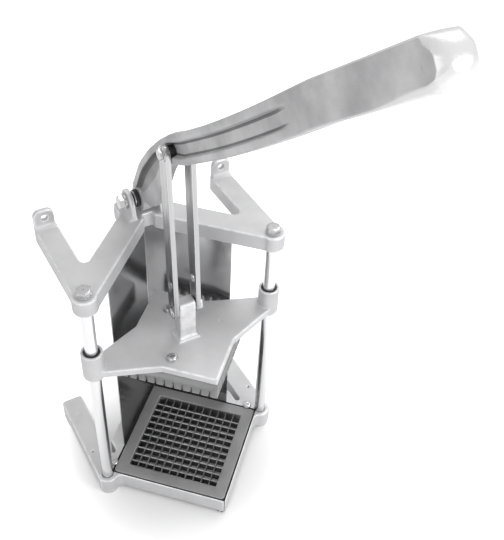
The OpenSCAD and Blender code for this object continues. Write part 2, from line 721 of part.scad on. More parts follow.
module upper_link_screws() color("gainsboro") each_side() {
    x_disc(pin, link_in + joined / 2, link_out + washer_thick / 2, pin_radius);
    x_disc(pin, link_out + washer_thick / 2, link_out + washer_thick / 2 + pin_head_height,
        link_width * 0.36);
}

module upper_link_washers() color("white") each_side()
    x_disc(pin, link_out, link_out + washer_thick / 2, link_width * 0.46, pin_radius + bolt_fit);

module lower_link_bolt() color("gainsboro") {
    x_disc(lower_pin, -link_out - pass_gap - pin_head_height, -link_out - pass_gap, link_width * 0.4);
    x_disc(lower_pin, -link_out - pass_gap, link_out + pass_gap + pin_head_height + joined, pin_radius);
}

module lower_link_nut() color("gainsboro") at_yz(lower_pin) along_x(link_out + pass_gap) difference() {
    intersection() {
        cylinder(r = link_width * 0.43, h = pin_head_height, $fn = 6);
        cylinder(r1 = link_width, r2 = link_width * 0.36, h = pin_head_height);
    }
    translate([0, 0, -overrun]) cylinder(r = pin_radius + thread_fit, h = pin_head_height + 2 * overrun);
}

module lower_link_washers() color("white") each_side()
    x_disc(lower_pin, lug_width / 2, link_in - pass_gap / 2, link_width * 0.42, pin_radius + bolt_fit);

/* Pusher */

shoulder = [plate_reach * 0.566, plate_reach * 0.434];
arm_root = pusher_boss_radius * 0.85;
plate_half = [[0, -plate_reach, 0.1 * large_round], [shoulder[0], -shoulder[1], small_round],
    [column_x, -arm_root, 0], [column_x, arm_root, 0], [shoulder[0], shoulder[1], small_round],
    [0, plate_reach, 0.1 * large_round]];
boss_bottom = plate_bottom - small_round;
boss_top = plate_top + pusher_boss_rise;
bushing_out = pusher_boss_radius * 0.77;
bushing_inset = 2 * overrun;
pusher_screw_places = [[-plate_reach * 0.372, -plate_reach * 0.363], [0, plate_reach * 0.52]];

module pusher_carrier() color("silver") difference() {
    union() {
        translate([0, 0, plate_bottom]) linear_extrude(plate_thick) polygon(rounded(both_sides(plate_half)));
        each_side() translate([column_x, 0, boss_bottom])
            cylinder(r = pusher_boss_radius, h = boss_top - boss_bottom);
        lug();
    }
    each_side() translate([column_x, 0, boss_bottom - overrun])
        cylinder(r = bushing_out, h = boss_top - boss_bottom + 2 * overrun);
    x_disc(lower_pin, -lug_width, lug_width, pin_radius + running_fit);
    for (p = pusher_screw_places) translate([p[0], p[1], plate_bottom - overrun])
        cylinder(r = screw_shank / 2 + bolt_fit, h = plate_thick + 2 * overrun);
    // Small locating mark
    translate([shoulder[0], -frame_corner / 2, plate_top - joined])
        cylinder(r = frame_corner / 2, h = 2 * joined);
}

// Upright lug with a rounded front edge, and flared fillets at its foot
module lug() {
    y0 = -lug_forward - lug_depth / 2;
    y1 = -lug_forward + lug_depth / 2;
    side_plate(-lug_width / 2, lug_width / 2, rounded([[y0, plate_top - joined, 0],
        [y0, plate_top + lug_height, small_round], [y1, plate_top + lug_height, small_round],
        [y1, plate_top - joined, 0]]));
    flare = small_round * 1.4;
    translate([0, -lug_forward, plate_top - joined]) for (k = [1, 2])
        linear_extrude(flare * (k == 1 ? 1 : 0.45) + joined) square([lug_width + flare * (k == 1 ? 0.5 : 1.4),
            lug_depth + flare * (k == 1 ? 0.5 : 1.4)], center = true);
}

module bushing(s) translate([s * column_x, 0, boss_bottom + bushing_inset / 2]) difference() {
    cylinder(r = bushing_out, h = boss_top - boss_bottom - 1.5 * bushing_inset);
    translate([0, 0, -overrun]) cylinder(r = column_radius + running_fit, h = boss_top - boss_bottom);
}

module left_bushing() color("ivory") bushing(-1);
module right_bushing() color("ivory") bushing(1);

block_side = grid_side - prong_gap * 0.66;

module pusher_block() color("dimgray") difference() {
    diamond(block_side, prong_tip, block_thick + prong_length, joined);
    rotate([0, 0, 45]) for (p = blade_places()) for (a = [0, 90]) rotate([0, 0, a])
        translate([-grid_side / 2 - overrun, p - prong_gap / 2, prong_tip - overrun])
            cube([grid_side + 2 * overrun, prong_gap, prong_length + overrun]);
    for (p = pusher_screw_places) translate([p[0], p[1], plate_bottom - block_thick / 2])
        cylinder(r = screw_shank / 2, h = block_thick);
}

module pusher_screws() color("white") for (p = pusher_screw_places)
    translate([p[0], p[1], plate_top + washer_thick / 2])
        pan_screw(plate_thick + washer_thick / 2 + block_thick / 2);

module pusher_washers() color("white") for (p = pusher_screw_places)
    translate([p[0], p[1], plate_top]) difference() {
        cylinder(d = screw_head * 1.2, h = washer_thick / 2);
        translate([0, 0, -overrun]) cylinder(r = screw_shank / 2 + bolt_fit, h = 2 * overrun + washer_thick);
    }

place() base_casting();
place() top_casting();
place() left_column();
place() right_column();
place() column_top_bolts();
place() column_top_washers();
place() column_bottom_bolts();
place() blade_frame();
place() long_blades();
place() cross_blades();
place() clamp_screws();
place() back_guard();
place() guard_screws();
place() pivot_bolt();
place() pivot_nut();
place() pivot_washers();
place() pivot_spacers();
place() lever();
place() hub_bushing();
place() link_spacers();
place() left_link();
place() right_link();
place() upper_link_screws();
place() upper_link_washers();
place() pusher_carrier();
place() left_bushing();
place() right_bushing();
place() pusher_block();
place() pusher_screws();
place() pusher_washers();
place() lower_link_bolt();
place() lower_link_nut();
place() lower_link_washers();
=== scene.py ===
import json
import math
import bmesh
import bpy
import numpy as np
from mathutils import Matrix, Vector


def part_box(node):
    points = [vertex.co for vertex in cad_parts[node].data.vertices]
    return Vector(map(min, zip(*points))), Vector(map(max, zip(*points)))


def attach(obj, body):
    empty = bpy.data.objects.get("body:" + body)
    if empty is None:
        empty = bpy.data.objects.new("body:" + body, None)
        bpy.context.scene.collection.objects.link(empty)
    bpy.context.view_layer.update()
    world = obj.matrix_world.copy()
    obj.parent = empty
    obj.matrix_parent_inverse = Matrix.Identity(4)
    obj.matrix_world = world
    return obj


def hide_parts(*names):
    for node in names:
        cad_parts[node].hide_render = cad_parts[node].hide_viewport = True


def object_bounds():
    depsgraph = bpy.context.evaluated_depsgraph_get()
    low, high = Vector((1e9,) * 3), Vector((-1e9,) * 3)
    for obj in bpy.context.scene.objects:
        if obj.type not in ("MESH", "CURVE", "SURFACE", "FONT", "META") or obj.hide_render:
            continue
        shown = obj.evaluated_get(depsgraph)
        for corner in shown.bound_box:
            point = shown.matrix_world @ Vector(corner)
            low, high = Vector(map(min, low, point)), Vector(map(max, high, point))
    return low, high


# French fry cutter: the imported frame, dressed with rounded castings, turned parts and worn metal
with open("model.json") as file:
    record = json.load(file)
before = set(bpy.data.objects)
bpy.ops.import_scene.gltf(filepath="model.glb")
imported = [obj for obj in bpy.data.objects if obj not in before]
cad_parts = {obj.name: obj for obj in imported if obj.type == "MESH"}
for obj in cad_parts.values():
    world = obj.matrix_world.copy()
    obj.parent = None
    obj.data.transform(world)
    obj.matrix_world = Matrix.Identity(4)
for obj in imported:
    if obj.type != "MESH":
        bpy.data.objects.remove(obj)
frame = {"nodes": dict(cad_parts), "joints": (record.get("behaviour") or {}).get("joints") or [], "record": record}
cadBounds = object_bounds()
nodes = frame["nodes"]
record = frame["record"]
scene = bpy.context.scene
bodyOf = {node: body for body, members in record["behaviour"]["bodies"].items() for node in members}
slotOf = {part["node"]: part["material_slot"] for part in record["subparts"]}
jointOf = {joint["name"]: joint for joint in frame["joints"]}
sideways = Vector((1, 0, 0))
upright = Vector((0, 0, 1))


def middle(node):
    low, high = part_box(node)
    return (low + high) / 2


# A new object in the scene, which holds a mesh, a camera or a lamp
def placed(name, data):
    piece = bpy.data.objects.new(name, data)
    scene.collection.objects.link(piece)
    return piece


columnY = middle("left_column").y
print("frame loaded:", len(nodes), "nodes")

# Camera: its place is counted from the row of columns, and its axes are those of the photograph
view = {
    "fromColumns": Vector((-0.24772, -0.52094, 0.82006)),
    "right": Vector((0.86763, -0.49531, 0.04349)),
    "down": Vector((-0.30496, -0.59918, -0.74026)),
    "forward": Vector((0.39272, 0.62900, -0.67091)),
    "lens": 53.72,
    "sensor": 36,
    "clip": (0.01, 20),
}


def makeCamera():
    data = bpy.data.cameras.new("camera")
    data.sensor_fit = "VERTICAL"
    data.sensor_width = data.sensor_height = view["sensor"]
    data.lens = view["lens"]
    data.clip_start, data.clip_end = view["clip"]
    camera = placed("camera", data)
    turn = Matrix((view["right"], -view["down"], -view["forward"])).transposed().to_4x4()
    camera.matrix_world = Matrix.Translation(view["fromColumns"] + Vector((0, columnY, 0))) @ turn
    scene.camera = camera


makeCamera()

# Room: white floor, a white world for the camera, softer and graded for everything else
room = {
    "floor": (0.9, 0.9, 0.9, 1),
    "floorRoughness": 0.9,
    "floorSize": 8,
    "glow": 0.70,  # white that the camera and reflections see on the floor, away from the press
    "glowRange": (0.07, 0.20),
    "fill": 0.76,
    "zenith": (1, 1, 1, 1),
    "zenithAt": 0.75,
    "horizon": (0.34, 0.34, 0.35, 1),
    "mirrored": 0.5,  # how much of the white background reflections see
    "aim": (0, columnY - 0.05, 0.3),  # where the lamps point
    "lamps": [
        # name, place, size, power
        ("keyLamp", (0.9, 0.5, 1.7), 0.9, 7.8),
        ("sideLamp", (-1.3, -0.9, 1.0), 1.1, 5.0),
        ("frontLamp", (0.9, -1.5, 0.9), 0.6, 13),
    ],
}
white = (1, 1, 1, 1)


# Shader nodes of these kinds, in this order
def newNodes(tree, *kinds):
    return [tree.nodes.new("ShaderNode" + kind) for kind in kinds]


# Sets a socket from another node's output, or from a plain value
def feed(tree, socket, source):
    if isinstance(source, bpy.types.NodeSocket):
        tree.links.new(source, socket)
    else:
        socket.default_value = source


# The result of an operation on numbers or on other nodes' outputs
def maths(tree, operation, *terms):
    node, = newNodes(tree, "Math")
    node.operation = operation
    for socket, term in zip(node.inputs, terms):
        feed(tree, socket, term)
    return node.outputs[0]


# How far a value is from one end to the other, spread over a least and a most value
def ramped(tree, value, ends, least=0, most=1, curve="LINEAR"):
    node, = newNodes(tree, "MapRange")
    node.interpolation_type = curve
    labels = "Value", "From Min", "From Max", "To Min", "To Max"
    for label, term in zip(labels, (value, *ends, least, most)):
        feed(tree, node.inputs[label], term)
    return node.outputs[0]


def mixed(tree, factor, first, second, kind="RGBA", blend="MIX"):
    node, = newNodes(tree, "Mix")
    node.data_type, node.blend_type = kind, blend
    for label, term in zip(("Factor", "A", "B"), (factor, first, second)):
        feed(tree, node.inputs[label], term)
    return node.outputs["Result"]


def distance(tree, place, centre):
    node, = newNodes(tree, "VectorMath")
    node.operation = "DISTANCE"
    for socket, term in zip(node.inputs, (place, centre)):
        feed(tree, socket, term)
    return node.outputs["Value"]


# How white the background looks to a ray: 1 from the camera, and a share in reflections
def whiteness(tree):
    ray, = newNodes(tree, "LightPath")
    return maths(tree, "MAXIMUM", maths(tree, "MULTIPLY", ray.outputs["Is Glossy Ray"], room["mirrored"]),
                 ray.outputs["Is Camera Ray"])


# Floor: plain diffuse paint, and away from the press a white glow for the camera and for reflections
def makeFloorPaint():
    paint = bpy.data.materials.new("floorPaint")
    paint.use_nodes = True
    tree = paint.node_tree
    place, = newNodes(tree, "TexCoord")
    far = distance(tree, place.outputs["Object"], (0, columnY, 0))
    glow = ramped(tree, far, room["glowRange"], 0, room["glow"], "SMOOTHSTEP")
    for label, source in {
        "Base Color": room["floor"],
        "Roughness": room["floorRoughness"],
        "Specular IOR Level": 0,
        "Emission Color": white,
        "Emission Strength": maths(tree, "MULTIPLY", glow, whiteness(tree)),
    }.items():
        feed(tree, tree.nodes["Principled BSDF"].inputs[label], source)
    return paint


def makeFloor():
    half = room["floorSize"] / 2
    mesh = bpy.data.meshes.new("floor")
    corners = [(-half, -half, 0), (half, -half, 0), (half, half, 0), (-half, half, 0)]
    mesh.from_pydata(corners, [], [(0, 1, 2, 3)])
    mesh.materials.append(makeFloorPaint())
    placed("floor", mesh)


def makeWorld():
    world = bpy.data.worlds.new("world")
    scene.world = world
    world.use_nodes = True
    tree = world.node_tree
    tree.nodes.clear()
    place, split, grade, sky, plain, mix, out = newNodes(
        tree, "TexCoord", "SeparateXYZ", "ValToRGB", "Background", "Background", "MixShader", "OutputWorld")
    low, high = grade.color_ramp.elements
    low.color, low.position = room["horizon"], 0
    high.color, high.position = room["zenith"], room["zenithAt"]
    for source, socket in (
        (place.outputs["Generated"], split.inputs[0]), (split.outputs["Z"], grade.inputs[0]),
        (grade.outputs[0], sky.inputs["Color"]), (room["fill"], sky.inputs["Strength"]),
        (white, plain.inputs["Color"]), (whiteness(tree), mix.inputs[0]),
        (sky.outputs[0], mix.inputs[1]), (plain.outputs[0], mix.inputs[2]), (mix.outputs[0], out.inputs[0]),
    ):
        feed(tree, socket, source)


def makeLamps():
    for name, place, size, power in room["lamps"]:
        lamp = bpy.data.lights.new(name, "AREA")
        lamp.size, lamp.energy = size, power
        holder = placed(name, lamp)
        holder.location = place
        holder.rotation_euler = (Vector(room["aim"]) - Vector(place)).to_track_quat("-Z", "Y").to_euler()


makeFloor()
makeWorld()
makeLamps()
scene.view_settings.view_transform = "Standard"
print("camera and room ready")

# Finishes. Each group gives a colour, a roughness and a normal that change over the surface
finishes = {
    # slot: group, tone or colour, metallic, roughness, grain, stain, rubbed edges with their painted highlight,
    # stretch along X, Y, Z
    "cast_aluminium": ("castGrain", 0.66, 0.45, 0.48, 0.7, 0.9, 1.0, (1, 1, 1)),
    "handle_aluminium": ("castGrain", 0.65, 0.35, 0.46, 0.5, 2.2, 0, (1, 1, 1)),
    "polished_steel": ("drawnGrain", 0.80, 1.0, 0.16, 0.05, 0.2, 0, (1, 1, 0.03)),
    "link_steel": ("drawnGrain", 0.50, 1.0, 0.25, 0.12, 0.5, 1.0, (1, 1, 0.03)),
    "bolt_steel": ("drawnGrain", 0.58, 1.0, 0.24, 0.10, 0.6, 1.0, (1, 1, 1)),
    "sheet_steel": ("drawnGrain", 0.50, 1.0, 0.17, 0.05, 0.5, 0.6, (1, 1, 0.02)),
    "dark_frame": ("castGrain", 0.33, 0.3, 0.55, 0.8, 1.4, 0.35, (1, 1, 1)),
    "blade_steel": ("drawnGrain", 0.07, 0.0, 0.36, 0.06, 0.2, 2.6, (1, 1, 0.2)),
    "dark_spacer": ("drawnGrain", 0.045, 0.6, 0.38, 0.10, 0.4, 0, (0.2, 1, 1)),
    "bronze": ("drawnGrain", (0.58, 0.36, 0.16), 1.0, 0.35, 0.10, 0.4, 0, (0.2, 1, 1)),
    "pusher_plastic": ("mouldGrain", 0.30, 0.0, 0.45, 0.25, 0.8, 0.6, (1, 1, 1)),
    "bushing_plastic": ("mouldGrain", 0.05, 0.0, 0.40, 0.15, 0.2, 0, (1, 1, 1)),
}
coolness = 1.01  # how much more blue than red and green the greys have
groupLook = {
    # fine scale, coarse scale, detail of the fine noise, how deep the bump is in metres
    "castGrain": (900, 26, 7, 0.00030),
    "drawnGrain": (2600, 30, 4, 0.00010),
    "mouldGrain": (1600, 40, 3, 0.00018),
}
wearAndLight = {
    "stainRange": (0.38, 0.66),  # values of the coarse noise between which stain sets in
    "mottle": 0.5,  # how much of the stain is broken up by the middle noise
    "mottleFiner": 5,  # how much finer the middle noise is than the coarse one
    "stainShare": 0.16,
    "stainColour": (0.35, 0.35, 0.36, 1),
    "stainRoughness": 0.09,
    "wearSheenRange": (0.35, 0.55),  # values of the middle noise between which rubbing grows to whole
    "wearSheenLeast": 0.35,
    "wearSheenColour": (0.86, 0.86, 0.87, 1),
    "wearSheenRoughness": -0.12,
    # colour of the painted shade in the lever's corners
    "shadeColour": (0.07, 0.07, 0.07, 1),
}


def noiseValue(tree, place, scale, detail):
    node, = newNodes(tree, "TexNoise")
    for label, source in (("Vector", place), ("Scale", scale), ("Detail", detail)):
        feed(tree, node.inputs[label], source)
    return node.outputs["Fac"]


# A number that the mesh itself carries for each of its points or faces
def carried(tree, name):
    node, = newNodes(tree, "Attribute")
    node.attribute_name = name
    return node.outputs["Fac"]


def makeGroup(name):
    fine, coarse, detail, depth = groupLook[name]
    group = bpy.data.node_groups.new(name, "ShaderNodeTree")
    for way, sockets in (
        ("INPUT", {"Vector": "Vector", "Tone": "Color", "Roughness": "Float", "Grain": "Float",
                   "Stain": "Float", "WearAndSheen": "Float"}),
        ("OUTPUT", {"Color": "Color", "Roughness": "Float", "Normal": "Vector"}),
    ):
        for label, kind in sockets.items():
            group.interface.new_socket(name=label, in_out=way, socket_type="NodeSocket" + kind)
    given = group.nodes.new("NodeGroupInput").outputs
    out = group.nodes.new("NodeGroupOutput").inputs
    small, large, cloud = [noiseValue(group, given["Vector"], scale, detail)
                           for scale in (fine, coarse, coarse * wearAndLight["mottleFiner"])]
    # Stain: the large noise darkens the tone and the middle one mottles it, and it is rougher there
    spread = ramped(group, large, wearAndLight["stainRange"])
    mottled = maths(group, "MULTIPLY_ADD", cloud, wearAndLight["mottle"], spread)
    stain = maths(group, "MULTIPLY", mottled, given["Stain"])
    share = maths(group, "MULTIPLY", stain, wearAndLight["stainShare"])
    colour = mixed(group, share, given["Tone"], wearAndLight["stainColour"], blend="MULTIPLY")
    rough = maths(group, "MULTIPLY_ADD", stain, wearAndLight["stainRoughness"], given["Roughness"])
    # Rubbed edges and painted highlight: the faces of an edge's rounding, broken up by the middle noise, are
    # smoother, and painted brighter for the light that edges catch
    patches = ramped(group, cloud, wearAndLight["wearSheenRange"], wearAndLight["wearSheenLeast"])
    wornAndLit = maths(group, "MULTIPLY", carried(group, "wearAndSheen"), patches)
    wearAndSheen = maths(group, "MULTIPLY", wornAndLit, given["WearAndSheen"])
    colour = mixed(group, wearAndSheen, colour, wearAndLight["wearSheenColour"])
    rough = maths(group, "MULTIPLY_ADD", wearAndSheen, wearAndLight["wearSheenRoughness"], rough)
    # Painted shade: corners beside the lever's flanges are darkened, as shade falls there
    colour = mixed(group, carried(group, "groove"), colour, wearAndLight["shadeColour"])
    bump, = newNodes(group, "Bump")
    for source, socket in (
        (depth, bump.inputs["Distance"]), (given["Grain"], bump.inputs["Strength"]),
        (small, bump.inputs["Height"]),
        (colour, out["Color"]), (rough, out["Roughness"]), (bump.outputs[0], out["Normal"]),
    ):
        feed(group, socket, source)
    return group


groups = {name: makeGroup(name) for name in groupLook}
gapShade = {
    "beside": 0.0009,  # how far outside the blade frame the middle of the shaded seam lies
    "width": 0.0011,  # half the seam's width
    "above": 0.001,  # how far over the blade frame the seam reaches
}
polishAndHighlight = {
    "from": (0, cadBounds[0][1], cadBounds[1][2]),
    "reach": (0.20, 0.015),  # from where it starts to where it is full, counted back from the handle's end
    "flat": (0.985, 0.90),  # how much a face looks sideways, from where it is dull to where it is polished and painted light
}


# Half the side of a square turned by an eighth about the columns' middle
def halfSide(node):
    points = np.array([vert.co[:] for vert in nodes[node].data.vertices])
    return ((points[:, 0] + points[:, 1] - columnY) / math.sqrt(2)).max()


# Masks from the object's own coordinates, 1 where the finish changes. This one is painted shade: a dark seam
# round the blade frame, where the gap lies in shade
def seatGrime(tree, places):
    turn, square, split = newNodes(tree, "Mapping", "VectorMath", "SeparateXYZ")
    turn.inputs["Rotation"].default_value = (0, 0, math.pi / 4)
    turn.inputs["Location"].default_value = (columnY / math.sqrt(2), -columnY / math.sqrt(2), 0)
    square.operation = "ABSOLUTE"
    tree.links.new(places["Object"], turn.inputs["Vector"])
    tree.links.new(turn.outputs[0], square.inputs[0])
    tree.links.new(square.outputs[0], split.inputs[0])
    larger = maths(tree, "MAXIMUM", split.outputs["X"], split.outputs["Y"])
    seam = maths(tree, "COMPARE", larger, halfSide("blade_frame") + gapShade["beside"], gapShade["width"])
    low = maths(tree, "LESS_THAN", split.outputs["Z"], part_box("blade_frame")[1].z + gapShade["above"])
    return maths(tree, "MULTIPLY", low, seam)


# Hands polish the handle's edges and its end, and these are also painted lighter as a highlight: faces that
# don't look sideways, more and more towards the end
def handPolish(tree, places):
    side, = newNodes(tree, "SeparateXYZ")
    tree.links.new(places["Normal"], side.inputs[0])
    edges = ramped(tree, maths(tree, "ABSOLUTE", side.outputs["X"]), polishAndHighlight["flat"])
    end = ramped(tree, distance(tree, places["Object"], polishAndHighlight["from"]), polishAndHighlight["reach"], curve="SMOOTHSTEP")
    return maths(tree, "MULTIPLY", edges, end)


masks = {
    # slot: mask, colour there, roughness there
    # painted shade: the seam round the blade frame is darkened
    "cast_aluminium": (seatGrime, (0.03, 0.03, 0.03, 1), 0.8),
    # polish with a painted highlight: the handle's edges and end are lighter and smoother
    "handle_aluminium": (handPolish, (0.80, 0.80, 0.80, 1), 0.30),
}


def makeFinish(name, look):
    kind, tone, metallic, roughness, grain, stain, wearAndSheen, stretch = look
    paint = bpy.data.materials.new(name)
    paint.use_nodes = True
    tree = paint.node_tree
    shader = tree.nodes["Principled BSDF"].inputs
    place, stretched, cell = newNodes(tree, "TexCoord", "Mapping", "Group")
    stretched.vector_type = "TEXTURE"
    stretched.inputs["Scale"].default_value = [1 / part for part in stretch]
    cell.node_tree = groups[kind]
    tint = tone if isinstance(tone, tuple) else (tone, tone, tone * coolness)
    for label, source in {"Vector": stretched.outputs[0], "Tone": (*tint, 1), "Roughness": roughness,
                          "Grain": grain, "Stain": stain, "WearAndSheen": wearAndSheen}.items():
        feed(tree, cell.inputs[label], source)
    colour, rough = cell.outputs["Color"], cell.outputs["Roughness"]
    if name in masks:
        makeMask, maskColour, maskRoughness = masks[name]
        mask = makeMask(tree, place.outputs)
        colour = mixed(tree, mask, colour, maskColour)
        rough = mixed(tree, mask, rough, maskRoughness, kind="FLOAT")
    for source, socket in (
        (place.outputs["Object"], stretched.inputs["Vector"]), (colour, shader["Base Color"]),
        (rough, shader["Roughness"]), (metallic, shader["Metallic"]),
        (cell.outputs["Normal"], shader["Normal"]),
    ):
        feed(tree, socket, source)
    return paint


paints = {name: makeFinish(name, look) for name, look in finishes.items()}
print("finishes ready:", len(paints))


# Distances within which corners or heights count as the same
tolerance = {
    "corner": 1e-6,  # corners of a new surface
    "sliver": 1e-7,  # ends of an edge too short to keep
    "solidCorner": 2e-6,  # corners of a solid's triangles
    "level": 1e-5,  # heights of an edge
}


# A mesh from points on a grid of two parameters. Wrapped directions join their last row to the first
def surface(name, grid, wrapU=False, wrapV=False):
    rows, columns = grid.shape[:2]
    u = np.arange(rows if wrapU else rows - 1)
    v = np.arange(columns if wrapV else columns - 1)
    first, second = np.meshgrid(u, v, indexing="ij")
    nextRow, nextColumn = (first + 1) % rows, (second + 1) % columns
    faces = np.stack([first * columns + second, nextRow * columns + second,
                      nextRow * columns + nextColumn, first * columns + nextColumn], -1).reshape(-1, 4)
    mesh = bpy.data.meshes.new(name)
    mesh.from_pydata(grid.reshape(-1, 3), [], faces)
    return mesh


# The first and the last row of a grid, as rings of point numbers
def endRings(grid):
    rows, columns = grid.shape[:2]
    return [range(columns), range((rows - 1) * columns, rows * columns)]


def shadeSmooth(mesh):
    mesh.polygons.foreach_set("use_smooth", np.ones(len(mesh.polygons), bool))


def setAttribute(mesh, name, domain, values):
    mesh.attributes.new(name, "FLOAT", domain).data.foreach_set("value", values)


# Closes poles and seams, points every face outwards, and marks the creases
def closeMesh(mesh, crease=38, caps=()):
    work = bmesh.new()
    work.from_mesh(mesh)
    work.verts.ensure_lookup_table()
    for ring in caps:
        work.faces.new([work.verts[index] for index in ring])
    bmesh.ops.remove_doubles(work, verts=work.verts, dist=tolerance["corner"])
    bmesh.ops.dissolve_degenerate(work, dist=tolerance["sliver"], edges=work.edges)
    bmesh.ops.recalc_face_normals(work, faces=work.faces)
    work.to_mesh(mesh)
    work.free()
    shadeSmooth(mesh)
    mesh.set_sharp_from_angle(angle=math.radians(crease))
    return mesh


def addPiece(name, mesh, node):
    piece = placed(name, mesh)
    mesh.materials.clear()
    mesh.materials.append(paints[slotOf[node]])
    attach(piece, bodyOf[node])
    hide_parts(node)
    return piece


# Bakes an object's modifiers into a new mesh and removes the object
def baked(piece):
    bpy.context.view_layer.update()
    mesh = bpy.data.meshes.new_from_object(piece.evaluated_get(bpy.context.evaluated_depsgraph_get()))
    bpy.data.objects.remove(piece)
    return mesh


# A node's loose triangles, joined where their corners meet
def joinedTriangles(node):
    work = bmesh.new()
    work.from_mesh(nodes[node].data)
    bmesh.ops.remove_doubles(work, verts=work.verts, dist=tolerance["solidCorner"])
    return work


flatAngle = math.radians(0.4)  # faces that turn by less are one flat
sharpAngle = 0.5  # radians


# A copy of a node's mesh with its flat faces made whole. Where a height is given, the sharp edges that lie
# there are marked
def mergedCopy(node, height=None):
    work = joinedTriangles(node)
    bmesh.ops.dissolve_limit(work, angle_limit=flatAngle, verts=work.verts, edges=work.edges)
    if height is not None:
        weight = work.edges.layers.float.new("bevel_weight_edge")
        for edge in work.edges:
            level = all(abs(vert.co.z - height) < tolerance["level"] for vert in edge.verts)
            edge[weight] = float(level and edge.calc_face_angle(0) > sharpAngle)
    mesh = bpy.data.meshes.new(node + "Merged")
    work.to_mesh(mesh)
    work.free()
    return mesh


def joinMeshes(name, meshes):
    work = bmesh.new()
    for mesh in meshes:
        work.from_mesh(mesh)
    whole = bpy.data.meshes.new(name)
    work.to_mesh(whole)
    work.free()
    shadeSmooth(whole)
    return whole


# Mean of each point's neighbours, worked out for all points at once
def neighbourMean(points, edges):
    count = np.bincount(edges.ravel(), minlength=len(points)).clip(1)[:, None]
    total = np.zeros_like(points)
    for here, there in ((0, 1), (1, 0)):
        for axis in range(3):
            total[:, axis] += np.bincount(edges[:, here], points[edges[:, there], axis], len(points))
    return total / count


def meshArrays(mesh):
    points = np.zeros(len(mesh.vertices) * 3)
    edges = np.zeros(len(mesh.edges) * 2, int)
    normals = np.zeros(len(mesh.vertices) * 3)
    mesh.vertices.foreach_get("co", points)
    mesh.edges.foreach_get("vertices", edges)
    mesh.vertices.foreach_get("normal", normals)
    return points.reshape(-1, 3), edges.reshape(-1, 2), normals.reshape(-1, 3)


# Castings: the solid is skinned with even squares, its edges are worn round by moving each point towards
# the mean of its neighbours, and where the skin then bulges most, it counts as rubbed and gets a painted
# highlight. Then the skin is thinned again
castSkins = {
    # node: side of the squares, rounds of wear, share of the faces kept
    "base_casting": (0.00090, 3, 0.45),
    "top_casting": (0.00080, 4, 0.5),
    "pusher_carrier": (0.00075, 3, 0.5),
}
castWearAndSheen = {
    "held": 0.4,  # what a point keeps of its own place in a round of wear, and what it takes from the mean
    "pulled": 0.6,
    "bulgeStart": 0.02,  # bulge from which an edge is rubbed and painted with a highlight, in sides of the squares
    "bulgeSpan": 0.06,
    "lugHalf": 0.02,  # half width, foot and facing of the carrier's lug, whose front is painted bright as a highlight
    "lugFoot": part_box("pusher_washers")[0].z + 0.001,
    "lugFacing": -0.6,
}


def castSkin(node, square, rounds, kept):
    piece = placed(node + "Skin", mergedCopy(node))
    skin = piece.modifiers.new("skin", "REMESH")
    skin.mode, skin.voxel_size = "VOXEL", square
    mesh = baked(piece)
    points, edges, _ = meshArrays(mesh)
    for _ in range(rounds):
        points = points * castWearAndSheen["held"] + neighbourMean(points, edges) * castWearAndSheen["pulled"]
    mesh.vertices.foreach_set("co", points.ravel())
    mesh.update()
    points, edges, normals = meshArrays(mesh)
    bulge = np.einsum("ij,ij->i", points - neighbourMean(points, edges), normals) / square
    wearAndSheen = np.clip((bulge - castWearAndSheen["bulgeStart"]) / castWearAndSheen["bulgeSpan"], 0, 1)
    # The lug's front faces are painted bright, a highlight for the light that falls on them
    if node == "pusher_carrier":
        onLug = (points[:, 2] > castWearAndSheen["lugFoot"]) & (abs(points[:, 0]) < castWearAndSheen["lugHalf"])
        wearAndSheen = np.maximum(wearAndSheen, onLug & (normals[:, 1] < castWearAndSheen["lugFacing"]))
    setAttribute(mesh, "wearAndSheen", "POINT", wearAndSheen)
    piece = placed(node + "Skin", mesh)
    piece.modifiers.new("thin", "DECIMATE").ratio = kept
    mesh = baked(piece)
    shadeSmooth(mesh)
    print("  skinned", node, len(mesh.polygons))
    return addPiece(node + "Casting", mesh, node)


for node, look in castSkins.items():
    castSkin(node, *look)


# Faces that carry the second material become a face attribute, which the finishes read as rubbed edges with a
# painted highlight
def markRubbed(mesh):
    index = np.zeros(len(mesh.polygons), int)
    mesh.polygons.foreach_get("material_index", index)
    setAttribute(mesh, "wearAndSheen", "FACE", index.astype(float))
    mesh.polygons.foreach_set("material_index", np.zeros(len(index), int))


# A copy of a node whose sharp edges get an arc of this width, or only those edges that lie at one height
def softEdges(node, width, height=None, steps=3, limit=32):
    mesh = mergedCopy(node, height)
    mesh.materials.clear()
    for _ in range(2):
        mesh.materials.append(paints[slotOf[node]])  # the second one marks the faces of the arcs
    shadeSmooth(mesh)
    piece = placed(node + "Soft", mesh)
    bevel = piece.modifiers.new("edges", "BEVEL")
    bevel.width, bevel.segments = width, steps
    bevel.limit_method, bevel.angle_limit = "ANGLE", math.radians(limit)
    bevel.harden_normals = True
    bevel.material = 1
    if height is not None:
        bevel.limit_method, bevel.use_clamp_overlap = "WEIGHT", False
    mesh = baked(piece)
    markRubbed(mesh)
    return addPiece(node + "Rounded", mesh, node)


# Sheet, bars, small screws, the blades' frame and the prongs keep their solids' form, with rounded edges
edgeRadius = {
    # node: width of the arc, and which edges have it where it isn't all
    "blade_frame": (0.0006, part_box("blade_frame")[1].z),
    "pusher_block": (0.0013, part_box("pusher_block")[0].z),
    "back_guard": (0.0003, None),
    "left_link": (0.0010, None),
    "right_link": (0.0010, None),
    "clamp_screws": (0.0003, None),
    "guard_screws": (0.0003, None),
    "pusher_screws": (0.0003, None),
}
for node, (width, height) in edgeRadius.items():
    softEdges(node, width, height)
print("castings skinned:", len(castSkins), "edges rounded:", len(edgeRadius))

